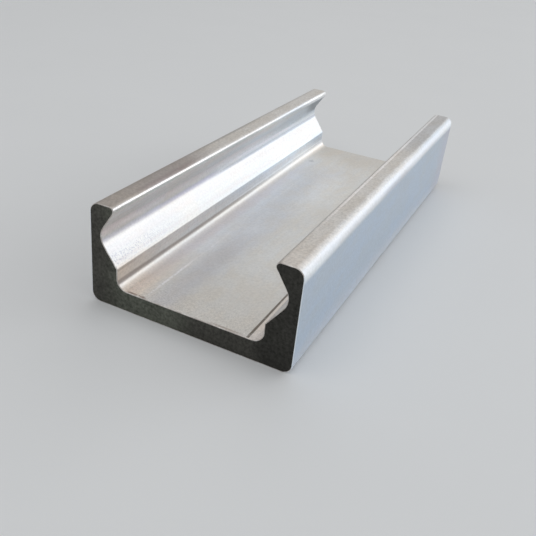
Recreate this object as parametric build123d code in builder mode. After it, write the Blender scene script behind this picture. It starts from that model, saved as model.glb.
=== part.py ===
from build123d import *

import os
from math import radians, tan

# Deep C-shaped channel, drawn as one bar of steel and sawn to length.
# Millimetres. +X across the width, +Y along the bar, +Z up out of the open side.
# The origin is in the middle of the underside.

# Outside of the bar
length = 103.0
width = 43.0
height = 21.0
top_corner_radius = 2.0
bottom_corner_radius = 2.0

# Floor between the two walls
floor_thickness = 4.3
floor_corner_radius = 2.2

# Each wall rises to a shoulder, is hollowed by a groove and ends in a lip.
# A wall is measured from the outer side inwards, and a rise from the feature below.
shoulder_wall = 6.0
shoulder_rise = 4.2
shoulder_edge_radius = 0.35
groove_wall = 1.7
groove_rise = 5.9
groove_radius = 3.4
lip_wall = 6.0
lip_tip_radius = 0.9

# Most of a side of the section that the fillets at its two ends may take between them
filled_share = 0.98

# Burr taken off round both sawn ends
deburr = 0.15

half_width = width / 2
shoulder_x = half_width - shoulder_wall
groove_x = half_width - groove_wall
lip_x = half_width - lip_wall
shoulder_z = floor_thickness + shoulder_rise
groove_z = shoulder_z + groove_rise

# Corners of the right wall, from the underside up over the lip and down to the floor.
# The groove's two faces would meet at its corner, which its radius rounds off.
right_corners = [
    (half_width, 0),
    (half_width, height),
    (lip_x, height),
    (groove_x, groove_z),
    (shoulder_x, shoulder_z),
    (shoulder_x, floor_thickness),
]
corner_radii = [
    bottom_corner_radius,
    top_corner_radius,
    lip_tip_radius,
    groove_radius,
    shoulder_edge_radius,
    floor_corner_radius,
]
# The left wall is the mirror image, from its floor corner back to the underside.
left_corners = [(-x, z) for x, z in reversed(right_corners)]


def fitted_radii(corners, radii):
    """The radii, made smaller together where the side between two corners is too short for both."""
    points = [Vector(*corner) for corner in corners]
    next_points = points[1:] + points[:1]
    reaches = []
    for i, radius in enumerate(radii):
        corner_angle = (points[i - 1] - points[i]).get_angle(next_points[i] - points[i])
        reaches.append(radius / tan(radians(corner_angle / 2)))
    fitted = list(radii)
    for i, point in enumerate(points):
        side = (point - points[i - 1]).length
        fit_share = filled_share * side / (reaches[i - 1] + reaches[i])
        for end in (i - 1, i):
            fitted[end] = min(fitted[end], radii[end] * fit_share)
    return fitted


with BuildPart() as channel:
    with BuildSketch(Plane.XZ) as section:
        with BuildLine() as outline:
            corners = right_corners + left_corners
            radii = corner_radii + corner_radii[::-1]
            FilletPolyline(*corners, radius=fitted_radii(corners, radii), close=True)
        make_face()
    extrude(amount=length / 2, both=True)
    sawn_ends = channel.faces().filter_by(Axis.Y)
    chamfer(sawn_ends.edges(), length=deburr)

channel.part.label = "channel"

os.makedirs("parts", exist_ok=True)
export_step(channel.part, "parts/channel.step")
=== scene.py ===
import math

import bpy
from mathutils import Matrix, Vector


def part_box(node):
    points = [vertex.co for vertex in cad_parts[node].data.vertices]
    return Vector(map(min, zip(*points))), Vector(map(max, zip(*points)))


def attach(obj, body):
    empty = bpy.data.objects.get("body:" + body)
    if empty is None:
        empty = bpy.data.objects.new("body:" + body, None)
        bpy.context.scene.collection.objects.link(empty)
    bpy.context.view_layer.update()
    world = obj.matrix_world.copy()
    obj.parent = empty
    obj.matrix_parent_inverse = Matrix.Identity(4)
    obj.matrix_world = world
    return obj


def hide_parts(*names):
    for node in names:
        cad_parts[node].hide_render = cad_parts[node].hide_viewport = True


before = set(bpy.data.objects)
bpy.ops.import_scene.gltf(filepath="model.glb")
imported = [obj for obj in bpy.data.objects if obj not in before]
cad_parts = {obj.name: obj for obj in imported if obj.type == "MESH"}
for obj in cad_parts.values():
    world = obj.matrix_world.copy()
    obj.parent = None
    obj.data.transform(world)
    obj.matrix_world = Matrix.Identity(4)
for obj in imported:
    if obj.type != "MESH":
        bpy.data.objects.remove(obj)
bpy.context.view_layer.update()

# Channel bar: one length of thick-walled, C-shaped steel, drawn cold through a die, so that
# its section is the same from end to end. Each wall has a shoulder, a rounded V groove and an
# inward lip. It is one solid piece with nothing fixed to it.
low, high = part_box("channel")
bar_length = high.y - low.y
bar_height = high.z - low.z
half_width = (high.x - low.x) / 2
floor_thickness = 0.0043
shoulder_wall = 0.0060
shoulder_rise = 0.0042
groove_wall = 0.0017
groove_rise = 0.0059
lip_wall = 0.0060
outer_radius = 0.0020
lip_tip_radius = 0.0009
groove_radius = 0.0034
shoulder_edge_radius = 0.00035
floor_corner_radius = 0.0022
deburr_width = 0.00015

shoulder_height = floor_thickness + shoulder_rise
groove_height = shoulder_height + groove_rise

# Corners of the right wall: offset from the middle, height, and the radius that rounds it.
right_corners = [
    (half_width, 0, outer_radius),
    (half_width, bar_height, outer_radius),
    (half_width - lip_wall, bar_height, lip_tip_radius),
    (half_width - groove_wall, groove_height, groove_radius),
    (half_width - shoulder_wall, shoulder_height, shoulder_edge_radius),
    (half_width - shoulder_wall, floor_thickness, floor_corner_radius),
]
left_corners = [(-offset, up, radius) for offset, up, radius in reversed(right_corners)]
section_corners = right_corners + left_corners


class Wire:
    """An output in a node tree. Sums on wires add Math nodes, and add() makes any other node."""

    def __init__(self, tree, output=None):
        self.tree = tree
        self.output = output

    def add(self, kind, settings=None, sockets=None, out=0):
        """Adds a node with its settings and its sockets' values or links, and gives one output."""
        node = self.tree.nodes.new(kind)
        for name, value in (settings or {}).items():
            setattr(node, name, value)
        inputs = {socket.identifier: socket for socket in node.inputs}
        for identifier, value in (sockets or {}).items():
            if isinstance(value, Wire):
                self.tree.links.new(value.output, inputs[identifier])
            else:
                inputs[identifier].default_value = value
        outputs = {socket.identifier: socket for socket in node.outputs}
        outputs.update(enumerate(node.outputs))
        return Wire(self.tree, outputs[out] if outputs else None)

    def work_out(self, operation, first, second):
        """A sum or a comparison of two numbers."""
        sockets = {"Value": first, "Value_001": second}
        return self.add("ShaderNodeMath", {"operation": operation}, sockets)

    def __add__(self, other):
        return self.work_out("ADD", self, other)

    def __radd__(self, other):
        return self.work_out("ADD", other, self)

    def __sub__(self, other):
        return self.work_out("SUBTRACT", self, other)

    def __rsub__(self, other):
        return self.work_out("SUBTRACT", other, self)

    def __mul__(self, other):
        return self.work_out("MULTIPLY", self, other)

    def __rmul__(self, other):
        return self.work_out("MULTIPLY", other, self)

    def __gt__(self, other):
        return self.work_out("GREATER_THAN", self, other)

    def __lt__(self, other):
        return self.work_out("LESS_THAN", self, other)

    def __abs__(self):
        return self.work_out("ABSOLUTE", self, 0.0)

    def at_least(self, other):
        """The larger of this and another."""
        return self.work_out("MAXIMUM", self, other)

    def work_out_vector(self, operation, other, out=0):
        """A vector or a colour, worked on with another or with a number."""
        second = "Scale" if operation == "SCALE" else "Vector_001"
        sockets = {"Vector": self, second: other}
        return self.add("ShaderNodeVectorMath", {"operation": operation}, sockets, out)

    def part(self, axis):
        """One number of a vector."""
        return self.add("ShaderNodeSeparateXYZ", {}, {"Vector": self}, axis)

    def rise(self, low_value, high_value):
        """0 below low_value, 1 above high_value, and a smooth step from one to the other."""
        sockets = {"Value": self, "From Min": low_value, "From Max": high_value}
        return self.add("ShaderNodeMapRange", {"interpolation_type": "SMOOTHSTEP"}, sockets, "Result")

    def fall(self, low_value, high_value):
        """1 below low_value and 0 above high_value."""
        return 1 - self.rise(low_value, high_value)

    def band(self, low_value, high_value, soft):
        """1 from low_value to high_value and 0 outside, with edges as wide as soft says."""
        inside = self.rise(low_value - soft, low_value + soft)
        return inside * self.fall(high_value - soft, high_value + soft)

    def swing(self, width):
        """A noise, which runs from 0 to 1, as a swing about zero that is as wide as this."""
        return width * (self - 0.5)

    def blend(self, first, second):
        """The first colour where this is 0, and the second where it is 1."""
        settings = {"data_type": "RGBA", "clamp_factor": True}
        colours = [colour if isinstance(colour, Wire) else (*colour, 1) for colour in (first, second)]
        sockets = {"Factor_Float": self, "A_Color": colours[0], "B_Color": colours[1]}
        return self.add("ShaderNodeMix", settings, sockets, "Result_Color")

    def noise(self, pitch, detail, roughness):
        """Noise at this place, with spots about pitch wide along each axis."""
        scaled = self.work_out_vector("MULTIPLY", tuple(1 / p for p in pitch))
        sockets = {"Vector": scaled, "Scale": 1.0, "Detail": detail, "Roughness": roughness}
        return self.add("ShaderNodeTexNoise", {}, sockets, "Fac")


def start_finish(name):
    """A new material with an empty tree, and a wire to build it from."""
    finish = bpy.data.materials.new(name)
    finish.use_nodes = True
    finish.node_tree.nodes.clear()
    return finish, Wire(finish.node_tree)


mm_per_metre = 1000.0


def millimetres(start):
    """The place on the piece, in millimetres."""
    return start.add("ShaderNodeTexCoord", out="Object").work_out_vector("SCALE", mm_per_metre)


def lay_over(colour, tints):
    """Lays tints over a colour, one after another, each where its mask says."""
    for mask, tint in tints:
        colour = mask.blend(colour, tint)
    return colour


def roughen(start, relief, strength):
    """The direction of a surface with this relief, on which 1 is as high as relief_height."""
    relief_height = 0.00002
    sockets = {"Strength": strength, "Distance": relief_height, "Height": relief}
    return start.add("ShaderNodeBump", {}, sockets, "Normal")


def cover(start, settings):
    """Puts a Principled shader with these sockets on the surface."""
    shader = start.add("ShaderNodeBsdfPrincipled", {}, settings)
    start.add("ShaderNodeOutputMaterial", {}, {"Surface": shader})


# Its drawn surface wears a thin, smooth coat of zinc: satin silver with a cold cast, faint
# lines along the bar from the die, and a fine sandy grain. Places and sizes are in millimetres
# from the middle of the underside, and the near end is the one that faces the camera.
zinc_coat, start = start_finish("drawn_zinc_coat")
place = millimetres(start)
left_right, along, height_up = [place.part(axis) for axis in "XYZ"]
across = abs(left_right)

die_lines = place.noise((0.35, 60.0, 0.35), detail=4.0, roughness=0.6)
wall_streaks = place.noise((1.1, 140.0, 1.1), detail=3.0, roughness=0.6)
clouds = place.noise((9.0, 16.0, 9.0), detail=3.0, roughness=0.55)
grain = place.noise((0.45, 0.55, 0.45), detail=2.0, roughness=0.6)
fine_lines = place.noise((0.14, 40.0, 0.14), detail=2.0, roughness=0.5)
pit_noise = place.noise((0.3, 0.3, 0.3), detail=1.0, roughness=0.5)
tone = place.noise((4.0, 8.0, 4.0), detail=2.0, roughness=0.6)

# Where the bar's ends and the section's features lie: distances from the middle, then heights
end_at = bar_length / 2 * mm_per_metre
side_at = half_width * mm_per_metre
wall_at = side_at - shoulder_wall * mm_per_metre
lip_at = side_at - lip_wall * mm_per_metre
floor_at = floor_thickness * mm_per_metre
shoulder_at = shoulder_height * mm_per_metre
groove_at = groove_height * mm_per_metre
top_at = bar_height * mm_per_metre

# The faces of the bar, each a mask from 0 to 1
on_right = left_right > 0.0
on_left = left_right < 0.0
near_end = along.fall(-end_at - 0.5, -end_at + 23.5)
far_end = along.rise(end_at - 17.5, end_at - 3.5)
outer_side = across.rise(side_at - 1.0, side_at - 0.1)
top_face = height_up.rise(top_at - 0.4, top_at - 0.05)
in_channel = across.fall(wall_at + 0.1, wall_at + 0.5)
floor_face = in_channel * height_up.fall(floor_at + 0.1, floor_at + 0.7) * (height_up > floor_at / 2)
shoulder_face = in_channel * height_up.rise(floor_at + 0.7, floor_at + 1.9)
inner_wall = (1 - outer_side) * (1 - top_face) * height_up.rise(floor_at + 0.7, floor_at + 2.2)
white_flank = inner_wall * height_up.band(shoulder_at + 0.4, groove_at - 1.8, soft=0.5)

# Clean coat: silver, colder up the walls, with warmer streaks, and a painted cold reflection in a strip
# along the floor
zinc = (0.35 * wall_streaks.rise(0.35, 0.65)).blend((0.82, 0.812, 0.79), (0.785, 0.795, 0.80))
# Painted reflection: a strip along the floor is painted bluer.
cold_reflection_strip = floor_face * left_right.band(-14.0, -1.5, soft=2.0) * along.band(-44.0, 34.0, soft=9.0)
cold_wall = inner_wall * along.rise(-32.0, 14.0) * (1 - 0.7 * height_up.rise(top_at - 3.5, top_at - 2.0))
cold_share = 0.62 + 0.3 * (height_up < shoulder_at - 0.1) - 0.5 * white_flank
light_shoulder = shoulder_face * along.band(10.0, 40.0, soft=4.0)
dull_shoulder = shoulder_face * along.rise(41.0, 46.0)
dark_tip = inner_wall * height_up.rise(top_at - 2.0, top_at - 1.2) * along.band(-10.0, 8.0, soft=4.0)
warm_streaks = inner_wall * wall_streaks.rise(0.42, 0.62)
clean_tints = [
    (0.5 * cold_reflection_strip, (0.755, 0.77, 0.82)),
    (cold_wall * cold_share, (0.76, 0.835, 0.91)),
    (0.6 * light_shoulder, (0.86, 0.93, 1.0)),
    (0.4 * dull_shoulder, (0.58, 0.66, 0.76)),
    (0.4 * dark_tip, (0.54, 0.56, 0.58)),
    (0.4 * warm_streaks, (0.80, 0.73, 0.71)),
]

# Top and outer sides: the top is greyer; the sides are bluer, partly from a painted cold reflection on the
# right side, and painted lighter towards the foot
# Painted light: the outer sides get lighter towards the foot and along their low edge.
side_foot_painted_light = outer_side * height_up.fall(0.5, 7.0) * along.fall(0.0, 50.0)
side_edge_painted_light = outer_side * height_up.fall(2.2, 4.5)
side_far_end = outer_side * along.rise(38.0, 50.0)
grey_top = top_face * along.rise(8.0, 24.0) * on_right
outer_tints = [
    (top_face, (0.69, 0.665, 0.635)),
    # The sides' blue is partly the coat's cold cast and partly a painted cold reflection of the light on
    # the right side, so the left side is plainer grey.
    (outer_side, (0.60, 0.675, 0.765)),
    (0.7 * outer_side * on_left, (0.68, 0.70, 0.72)),
    (0.7 * side_foot_painted_light, (0.75, 0.79, 0.85)),
    (0.5 * side_edge_painted_light, (0.74, 0.77, 0.83)),
    (0.5 * side_far_end, (0.66, 0.635, 0.70)),
    (0.8 * grey_top, (0.53, 0.53, 0.54)),
]

# Wear and painted light: the upper corners are rubbed bright, and a painted highlight lies over them on a
# narrower strip in the far half. A painted highlight runs along the tip of the right lip, with a painted
# dark reflection on its inner edge, and the left wall's top outer corner is painted darker, as shade.
# The rubbed corners also carry a painted highlight. It narrows in the far half, is brighter near the ends
# and is dimmer in the middle.
highlight_strip_place = across - 0.5 * along.rise(2.0, 30.0)
corner_wear_and_highlight = height_up.rise(top_at - 3.0, top_at - 1.7) * highlight_strip_place.rise(side_at - 2.1, side_at - 0.8)
corner_wear_and_highlight = corner_wear_and_highlight * (0.25 + 0.75 * on_right)
# Painted shade: the top outer corner of the left wall is painted darker.
left_rim_shade = on_left * height_up.rise(top_at - 1.0, top_at - 0.4) * across.rise(side_at - 2.3, side_at - 1.7)
rim_shade_share = 0.3 + 0.35 * along.band(-16.0, 10.0, soft=8.0)
lower_wear_and_highlight = corner_wear_and_highlight * height_up.fall(top_at - 1.6, top_at - 0.8) * on_right
bright_highlight_ends = along.fall(-44.0, -30.0) + along.rise(30.0, 46.0)
dim_highlight_middle = along.band(-9.0, 9.0, soft=4.0)
right_lip = (height_up > top_at - 1.5) * on_right
# A painted highlight runs along the tip of the right lip, and a painted dark reflection runs along its
# inner edge.
lip_highlight_line = right_lip * across.band(lip_at + 1.36, lip_at + 1.9, soft=0.08) * along.rise(-42.0, -18.0)
lip_highlight_tint = along.rise(5.0, 35.0).blend((0.95, 0.92, 0.91), (0.84, 0.84, 0.85))
lip_dark_reflection = right_lip * across.fall(lip_at + 1.22, lip_at + 1.37)
wear_and_painted_light_tints = [
    (corner_wear_and_highlight, (0.85, 0.865, 0.895)),
    (corner_wear_and_highlight * height_up.rise(top_at - 0.6, top_at - 0.2), (0.86, 0.845, 0.83)),
    (left_rim_shade * rim_shade_share, (0.46, 0.45, 0.44)),
    (0.7 * lower_wear_and_highlight * bright_highlight_ends, (0.95, 0.98, 1.0)),
    (0.5 * lower_wear_and_highlight * dim_highlight_middle, (0.62, 0.63, 0.68)),
    (0.85 * lip_highlight_line, lip_highlight_tint),
    (0.75 * lip_dark_reflection, (0.42, 0.40, 0.38)),
]

# Floor of the channel: painted shade darkens it towards both ends, with a dark and a light patch and a
# warm foot
# Painted shade: the floor is darker towards both ends.
painted_floor_shade = floor_face * (0.75 * along.fall(-50.0, -20.0) + 0.9 * far_end) * (0.6 + 0.6 * clouds)
dark_patch = floor_face * left_right.band(-8.0, -3.5, soft=1.5) * along.fall(-26.0, -10.0)
light_patch = floor_face * left_right.band(-5.0, 1.0, soft=2.0) * along.band(2.0, 28.0, soft=6.0)
warm_foot = floor_face * left_right.fall(-12.8, -11.0) * along.fall(0.0, 45.0)
floor_tints = [
    (painted_floor_shade, (0.705, 0.68, 0.64)),
    (0.55 * dark_patch, (0.65, 0.647, 0.675)),
    (0.5 * light_patch, (0.90, 0.91, 0.91)),
    (0.5 * warm_foot, (0.70, 0.64, 0.66)),
]

# Walls: warm at the near end, with a painted highlight in the round foot and on the far part of the left
# lip's tip, lines along the groove, and a painted dark reflection at the far end of the left one
warm_wall = near_end * (0.9 * shoulder_face + 0.3 * top_face) * (0.5 + 0.8 * clouds)
# Painted highlight: the round foot is painted lighter and creamier.
round_foot_highlight = in_channel * height_up.band(floor_at + 0.2, floor_at + 1.0, soft=0.25)
foot_highlight_share = 0.15 + 0.6 * near_end + 0.45 * along.rise(26.0, 44.0)
groove_haze = height_up.band(groove_at - 0.1, groove_at + 1.6, soft=0.4) * along.fall(18.0, 34.0)
haze_share = 0.35 + 0.3 * near_end
far_flank = inner_wall * along.rise(8.0, 30.0) * height_up.rise(groove_at - 0.4, groove_at + 0.6)
left_wall = inner_wall * on_left
# Painted dark reflection: the far end of the left wall's upper side is painted dark.
far_reflection_end = (along + 1.6 * height_up + clouds.swing(6.0)).rise(67.5, 74.0)
far_dark_reflection = left_wall * height_up.band(groove_at + 0.6, top_at - 1.9, soft=0.5) * far_reflection_end
# Painted highlight: the far part of the left lip's tip is painted white.
left_tip_highlight = left_wall * height_up.rise(top_at - 1.8, top_at - 1.2) * along.rise(30.0, 44.0)
violet_line = height_up.band(groove_at - 1.3, groove_at - 0.5, soft=0.3) * along.fall(-14.0, -4.0)
violet_share = 0.5 + 0.45 * along.rise(-44.0, -22.0)
dark_line = height_up.band(groove_at - 1.55, groove_at - 0.95, soft=0.15) * along.rise(-14.0, 0.0)
light_line = height_up.band(groove_at - 0.65, groove_at - 0.15, soft=0.2)
light_line = light_line * along.band(-3.0, 36.0, soft=6.0)
wall_tints = [
    (warm_wall, (0.80, 0.725, 0.655)),
    (round_foot_highlight * foot_highlight_share, (0.93, 0.86, 0.80)),
    (0.25 * white_flank, (0.66, 0.66, 0.68)),
    (inner_wall * groove_haze * haze_share, (0.95, 0.87, 0.88)),
    (0.6 * far_flank, (0.62, 0.68, 0.74)),
    (0.88 * far_dark_reflection, (0.33, 0.35, 0.37)),
    (0.9 * left_tip_highlight, (1.0, 1.0, 1.0)),
    (inner_wall * violet_line * violet_share, (0.70, 0.695, 0.80)),
    (0.75 * inner_wall * dark_line, (0.50, 0.52, 0.58)),
    (0.8 * inner_wall * light_line, (0.94, 0.93, 0.99)),
]

# Tarnish and dirt: brown at the near end of the left lip and in the near left corner of the floor, with a
# painted dark line of shade and a painted light line of reflection above each round foot
edge_dirt = height_up.band(shoulder_at - 0.55, shoulder_at - 0.15, soft=0.15) * along.fall(-48.0, -42.0)
near_left = near_end * floor_face * (left_right + clouds.swing(6.0)).fall(-12.5, -8.5)
tarnish = top_face * (along + clouds.swing(8.0)).fall(-24.0, -9.0) * on_left
tarnish_tint = along.rise(-46.0, -34.0).blend((0.51, 0.46, 0.42), (0.45, 0.405, 0.385))
brown_edge = tarnish * across.fall(lip_at + 1.7, lip_at + 2.9) * along.band(-42.0, -24.0, soft=4.0)
# Painted shade: a dark line along the top of each round foot.
corner_shade_line = height_up.band(floor_at + 0.95, floor_at + 1.6 + 0.2 * near_end, soft=0.25)
corner_shade_share = 0.66 - 0.42 * along.rise(-25.0, 20.0)
# Painted reflection: a light line above that dark line.
foot_reflection_line = height_up.band(floor_at + 1.65, floor_at + 2.0, soft=0.12) * along.rise(-14.0, 0.0)
dirt_and_painted_light_tints = [
    (0.45 * in_channel * edge_dirt, (0.50, 0.45, 0.42)),
    (0.55 * near_left, (0.84, 0.72, 0.61)),
    (0.9 * tarnish, tarnish_tint),
    (0.55 * brown_edge * (0.5 + clouds), (0.36, 0.29, 0.29)),
    (in_channel * corner_shade_line * corner_shade_share, (0.36, 0.29, 0.26)),
    (0.6 * in_channel * foot_reflection_line, (0.96, 0.98, 1.0)),
]

# Marks: a score line along the floor, a light streak along the floor that is a painted reflection, a brown
# stain at the burr, one grey smudge, and fine pits in the lower side of the groove
warm_strip = floor_face * left_right.rise(12.4, 12.8) * along.fall(-40.0, -20.0)
score_line = floor_face * left_right.band(12.2, 12.55 + 0.15 * near_end, soft=0.08)
score_line = score_line * grain.rise(0.15, 0.45)
# Painted reflection: a light streak along the floor.
reflection_streak = floor_face * left_right.band(-9.75, -9.3, soft=0.15) * grain.rise(0.2, 0.6)
near_reflection_runs = 0.75 * along.band(-49.0, -34.0, soft=4.0) + 0.3 * along.band(-34.0, -14.0, soft=6.0)
reflection_streak_runs = near_reflection_runs + 0.3 * along.band(5.0, 19.0, soft=3.0)
stained = left_right.band(-13.2, -9.2, soft=0.5) + 0.55 * left_right.band(5.0, 11.0, soft=1.5)
burr_stain = floor_face * stained * along.fall(-end_at + 0.5, -end_at + 0.8) * grain.rise(0.3, 0.5)
from_smudge = place.work_out_vector("DISTANCE", (-12.5, 36.8, floor_at), "Value")
smudge = (from_smudge + grain.swing(0.8)).fall(0.3, 1.3)
pitted = height_up.band(shoulder_at + 0.5, shoulder_at + 2.5, soft=0.8) * along.fall(-47.0, -20.0)
mark_tints = [
    (0.6 * warm_strip, (0.88, 0.80, 0.75)),
    (0.85 * score_line, (0.15, 0.12, 0.09)),
    (reflection_streak * reflection_streak_runs, (0.95, 0.94, 0.95)),
    (0.8 * burr_stain, (0.30, 0.22, 0.18)),
    (0.5 * smudge, (0.45, 0.45, 0.47)),
    (0.6 * pit_noise.rise(0.52, 0.62) * inner_wall * pitted, (0.44, 0.44, 0.52)),
]

colour = zinc
for tints in (clean_tints, outer_tints, wear_and_painted_light_tints, floor_tints, wall_tints, dirt_and_painted_light_tints, mark_tints):
    colour = lay_over(colour, tints)

# Brightness and gloss: die lines, grain and faint clouds. The worn corners are duller, and the
# tips of the lips are polished.
line_depth = 0.06 + 0.10 * inner_wall
speckle = 0.30 + 0.35 * top_face + 0.1 * inner_wall
sand = 0.45 * floor_face * along.fall(-50.0, -38.0)
mottle = 0.06 + 0.25 * top_face
shade = 1.0 + die_lines.swing(line_depth) + grain.swing(speckle)
shade = shade + pit_noise.swing(sand) + tone.swing(mottle) + clouds.swing(0.2 * floor_face)
warm_or_cold = tone.rise(0.35, 0.65).blend((1.012, 1.0, 0.985), (0.99, 1.0, 1.015))
colour = colour.work_out_vector("MULTIPLY", warm_or_cold).work_out_vector("SCALE", shade)
lip_polish = height_up.rise(top_at - 1.6, top_at - 0.8) * across.fall(lip_at + 1.2, lip_at + 1.8)
roughness = 0.46 + 0.06 * floor_face + 0.16 * corner_wear_and_highlight - 0.07 * lip_polish
roughness = roughness + clouds.swing(0.06) + grain.swing(0.12)
relief = fine_lines * 0.7 + grain * 0.3 - 2.0 * score_line
normal = roughen(start, relief, strength=1.0)
cover(start, {"Base Color": colour, "Metallic": 1.0, "Roughness": roughness, "Normal": normal})

# The ends were sawn across and left bare, so they are duller, with fine saw marks. Their dark colour is
# partly the bare steel and partly painted shade, darker still towards the right, and a lighter part on the
# left is a painted reflection.
sawn_steel_in_shade, start = start_finish("sawn_steel_in_shade")
place = millimetres(start)
left_right = place.part("X")
saw_marks = place.noise((0.5, 40.0, 9.0), detail=3.0, roughness=0.6)
blotches = place.noise((5.0, 5.0, 5.0), detail=3.0, roughness=0.55)
sand = place.noise((0.6, 0.6, 0.6), detail=2.0, roughness=0.6)
# Painted reflection: the left part of each end is lighter.
painted_reflection_part = (left_right + blotches.swing(6.0)).band(-17.0, -0.5, soft=3.5)
# Painted shade: each end is dark, and darker towards the right.
steel = left_right.rise(12.0, 17.0).blend((0.083, 0.081, 0.072), (0.053, 0.052, 0.047))
colour = (0.9 * painted_reflection_part).blend(steel, (0.143, 0.152, 0.126))
shade = 1.0 + blotches.swing(0.5) + sand.swing(1.5) + saw_marks.swing(0.3)
colour = colour.work_out_vector("SCALE", shade)
normal = roughen(start, saw_marks, strength=0.3)
cover(start, {"Base Color": colour, "Metallic": 1.0, "Roughness": 0.5, "Normal": normal})

# The burr was rubbed off round both ends, which left a narrow, bright edge. Where it meets the outer sides
# it is painted lighter and bluer, a painted highlight.
rubbed_edge, start = start_finish("rubbed_edge")
place = millimetres(start)
scuffs = place.noise((1.5, 1.5, 1.5), detail=3.0, roughness=0.6)
bright_steel = scuffs.rise(0.4, 0.7).blend((0.56, 0.52, 0.49), (0.86, 0.84, 0.82))
# Painted highlight: the edge is lighter and bluer along the outer sides.
outer_edge_highlight = abs(place.part("X")).rise(side_at - 0.3, side_at - 0.1)
colour = outer_edge_highlight.blend(bright_steel, (0.82, 0.88, 0.94))
cover(start, {"Base Color": colour, "Metallic": 1.0, "Roughness": 0.4 + scuffs.swing(0.15)})

# The tree rounds the corners of the section, sweeps it along the bar and closes both ends. A
# face is a sawn end where it looks along the bar by more than end_facing.
arc_points = 24
length_divisions = 24
end_facing = 0.9
draw_tree = bpy.data.node_groups.new("drawn_bar", "GeometryNodeTree")
draw_tree.is_modifier = True
interface = draw_tree.interface
interface.new_socket("Geometry", in_out="INPUT", socket_type="NodeSocketGeometry")
draw_inputs = {}
for name, kind, value in [
    ("Bar length", "NodeSocketFloat", bar_length),
    ("Points per corner", "NodeSocketInt", arc_points),
    ("Length divisions", "NodeSocketInt", length_divisions),
    ("Coat", "NodeSocketMaterial", zinc_coat),
    ("Sawn face", "NodeSocketMaterial", sawn_steel_in_shade),
]:
    socket = interface.new_socket(name, in_out="INPUT", socket_type=kind)
    draw_inputs[socket.identifier] = value
drawn_out = interface.new_socket("Geometry", in_out="OUTPUT", socket_type="NodeSocketGeometry")

start = Wire(draw_tree)
section_in = start.add("NodeGroupInput")
length_in, points_in, divisions_in, coat_in, sawn_in = [
    start.add("NodeGroupInput", out=identifier) for identifier in draw_inputs
]
outline = start.add("GeometryNodeMeshToCurve", {}, {"Mesh": section_in})
corner_radius = start.add(
    "GeometryNodeInputNamedAttribute", {"data_type": "FLOAT"}, {"Name": "corner_radius"}
)
rounded = start.add(
    "GeometryNodeFilletCurve",
    {"mode": "POLY"},
    {"Curve": outline, "Radius": corner_radius, "Count": points_in},
)
half_length = length_in * 0.5
far_point = start.add("ShaderNodeCombineXYZ", {}, {"Y": half_length})
near_point = start.add("ShaderNodeCombineXYZ", {}, {"Y": half_length * -1.0})
line = start.add("GeometryNodeCurvePrimitiveLine", {}, {"Start": far_point, "End": near_point})
line = start.add("GeometryNodeResampleCurve", {}, {"Curve": line, "Count": divisions_in + 1})
swept = start.add(
    "GeometryNodeCurveToMesh", {}, {"Curve": line, "Profile Curve": rounded, "Fill Caps": True}
)
# The sweep comes out upside down, and half a turn about the bar's length sets it upright.
upright = start.add("GeometryNodeTransform", {}, {"Geometry": swept, "Rotation": (0, math.pi, 0)})
smooth = start.add("GeometryNodeSetShadeSmooth", {}, {"Geometry": upright})
at_end = abs(start.add("GeometryNodeInputNormal").part("Y")) > end_facing
real = start.add("GeometryNodeRealizeInstances", {}, {"Geometry": smooth})
coated = start.add("GeometryNodeSetMaterial", {}, {"Geometry": real, "Material": coat_in})
finished = start.add(
    "GeometryNodeSetMaterial", {}, {"Geometry": coated, "Selection": at_end, "Material": sawn_in}
)
start.add("NodeGroupOutput", {}, {drawn_out.identifier: finished})

# The outline carries the radius of each corner, and all three finishes, because a bevel gives
# its faces only a finish that its own object has.
outline_mesh = bpy.data.meshes.new("section_outline")
outline_mesh.from_pydata(
    [(offset, up, 0) for offset, up, radius in section_corners],
    [(i, (i + 1) % len(section_corners)) for i in range(len(section_corners))],
    [],
)
radii = outline_mesh.attributes.new("corner_radius", "FLOAT", "POINT")
radii.data.foreach_set("value", [radius for offset, up, radius in section_corners])
finishes = [zinc_coat, sawn_steel_in_shade, rubbed_edge]
for finish in finishes:
    outline_mesh.materials.append(finish)
drawing = bpy.data.objects.new("section_outline", outline_mesh)
bpy.context.scene.collection.objects.link(drawing)
draw = drawing.modifiers.new("draw", "NODES")
draw.node_group = draw_tree
for identifier, value in draw_inputs.items():
    draw[identifier] = value
deburr = drawing.modifiers.new("deburr", "BEVEL")
deburr.width = deburr_width
deburr.segments = 3
deburr.limit_method = "ANGLE"
deburr.angle_limit = math.radians(50)
deburr.use_clamp_overlap = False
deburr.material = finishes.index(rubbed_edge)
even = drawing.modifiers.new("even_normals", "WEIGHTED_NORMAL")
even.weight = 50
even.keep_sharp = False

evaluated = drawing.evaluated_get(bpy.context.evaluated_depsgraph_get())
bar_mesh = bpy.data.meshes.new_from_object(evaluated)
bpy.data.objects.remove(drawing)
# The new mesh has only the two finishes that the tree sets, so the third is added again.
bar_mesh.materials.append(rubbed_edge)
bar = bpy.data.objects.new("channel_bar", bar_mesh)
bpy.context.scene.collection.objects.link(bar)
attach(bar, "root")
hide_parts("channel")

# Studio floor: one wide sheet of plain, pale, matt paper that the bar lies on. It is no part
# of the bar, and its edges lie far beyond it.
reach = 3.0
floor_mesh = bpy.data.meshes.new("studio_floor")
floor_corners = [(-reach, -reach, 0), (reach, -reach, 0), (reach, reach, 0), (-reach, reach, 0)]
floor_mesh.from_pydata(floor_corners, [], [(0, 1, 2, 3)])
floor = bpy.data.objects.new("studio_floor", floor_mesh)
bpy.context.scene.collection.objects.link(floor)
paper, start = start_finish("pale_paper")
fibres = millimetres(start).noise((40.0, 40.0, 40.0), detail=2.0, roughness=0.5)
colour = fibres.blend((0.78, 0.79, 0.80), (0.80, 0.81, 0.82))
cover(start, {"Base Color": colour, "Roughness": 0.6})
floor_mesh.materials.append(paper)

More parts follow.
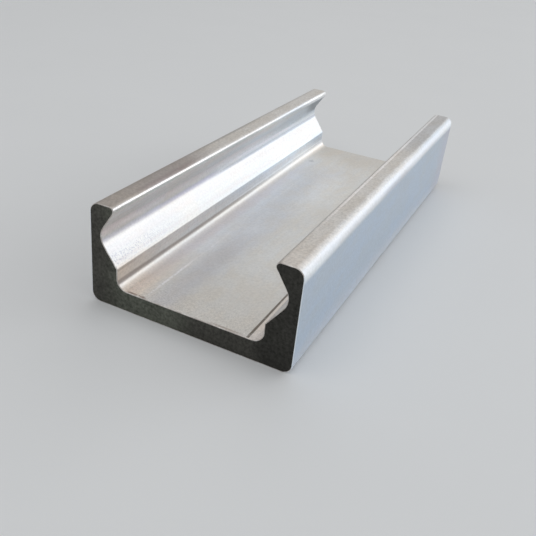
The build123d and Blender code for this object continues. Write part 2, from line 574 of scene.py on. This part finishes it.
# Studio: a pale dome all round, brighter behind the bar on the right, with a haze along the
# horizon. One wide, soft window light stands on that side, and a weaker panel hangs overhead.
bright_direction = (0.60, 0.78, 0.20)
dome_level = 0.33
bright_level = 0.43
haze_level = 0.56
studio = bpy.data.worlds.new("studio")
bpy.context.scene.world = studio
studio.use_nodes = True
studio.node_tree.nodes.clear()
start = Wire(studio.node_tree)
towards = start.add("ShaderNodeTexCoord", out="Generated")
brightness = towards.work_out_vector("DOT_PRODUCT", bright_direction, "Value")
haze = haze_level * towards.part("Z").fall(0.08, 0.3)
level = (dome_level + bright_level * brightness.rise(0.05, 0.6)).at_least(haze)
tint = towards.part("X").rise(-0.3, 0.7).blend((1.0, 0.99, 0.975), (0.93, 0.97, 1.0))
dome = start.add("ShaderNodeBackground", {}, {"Color": tint, "Strength": level})
start.add("ShaderNodeOutputWorld", {}, {"Surface": dome})


def soft_light(name, azimuth, elevation, distance, width, height, radiance, colour=(1, 1, 1)):
    """A flat soft light of a given brightness that faces the middle of the bar."""
    panel = bpy.data.lights.new(name, "AREA")
    panel.shape = "RECTANGLE"
    panel.size = width
    panel.size_y = height
    panel.color = colour
    panel.energy = radiance * math.pi * width * height
    holder = bpy.data.objects.new(name, panel)
    bpy.context.scene.collection.objects.link(holder)
    turn, rise = math.radians(azimuth), math.radians(elevation)
    holder.location = (
        distance * math.sin(turn) * math.cos(rise),
        distance * math.cos(turn) * math.cos(rise),
        distance * math.sin(rise),
    )
    holder.rotation_euler = (math.pi / 2 - rise, 0, math.pi - turn)


soft_light(
    "window",
    azimuth=44,
    elevation=20,
    distance=1.2,
    width=0.95,
    height=0.46,
    radiance=1.8,
    colour=(0.96, 0.98, 1.0),
)
soft_light("overhead", azimuth=200, elevation=70, distance=1.1, width=0.9, height=0.9, radiance=1.1)

# Camera: at the place and angle that the photograph was taken from, found by fitting the edges
# of the bar. Its place is in metres and its turn in degrees.
camera_place = (0.0527625, -0.1413642, 0.0745017)
camera_turn = (60.834087, -4.596153, 28.030842)
camera = bpy.data.cameras.new("camera")
camera.sensor_width = 36.0
camera.lens = 46.123
camera.shift_x = 0.0501
camera.shift_y = -0.0154
camera.clip_start = 0.005
camera.clip_end = 50.0
viewer = bpy.data.objects.new("camera", camera)
bpy.context.scene.collection.objects.link(viewer)
viewer.location = camera_place
viewer.rotation_euler = [math.radians(angle) for angle in camera_turn]
bpy.context.scene.camera = viewer
bpy.context.scene.view_settings.view_transform = "Standard"
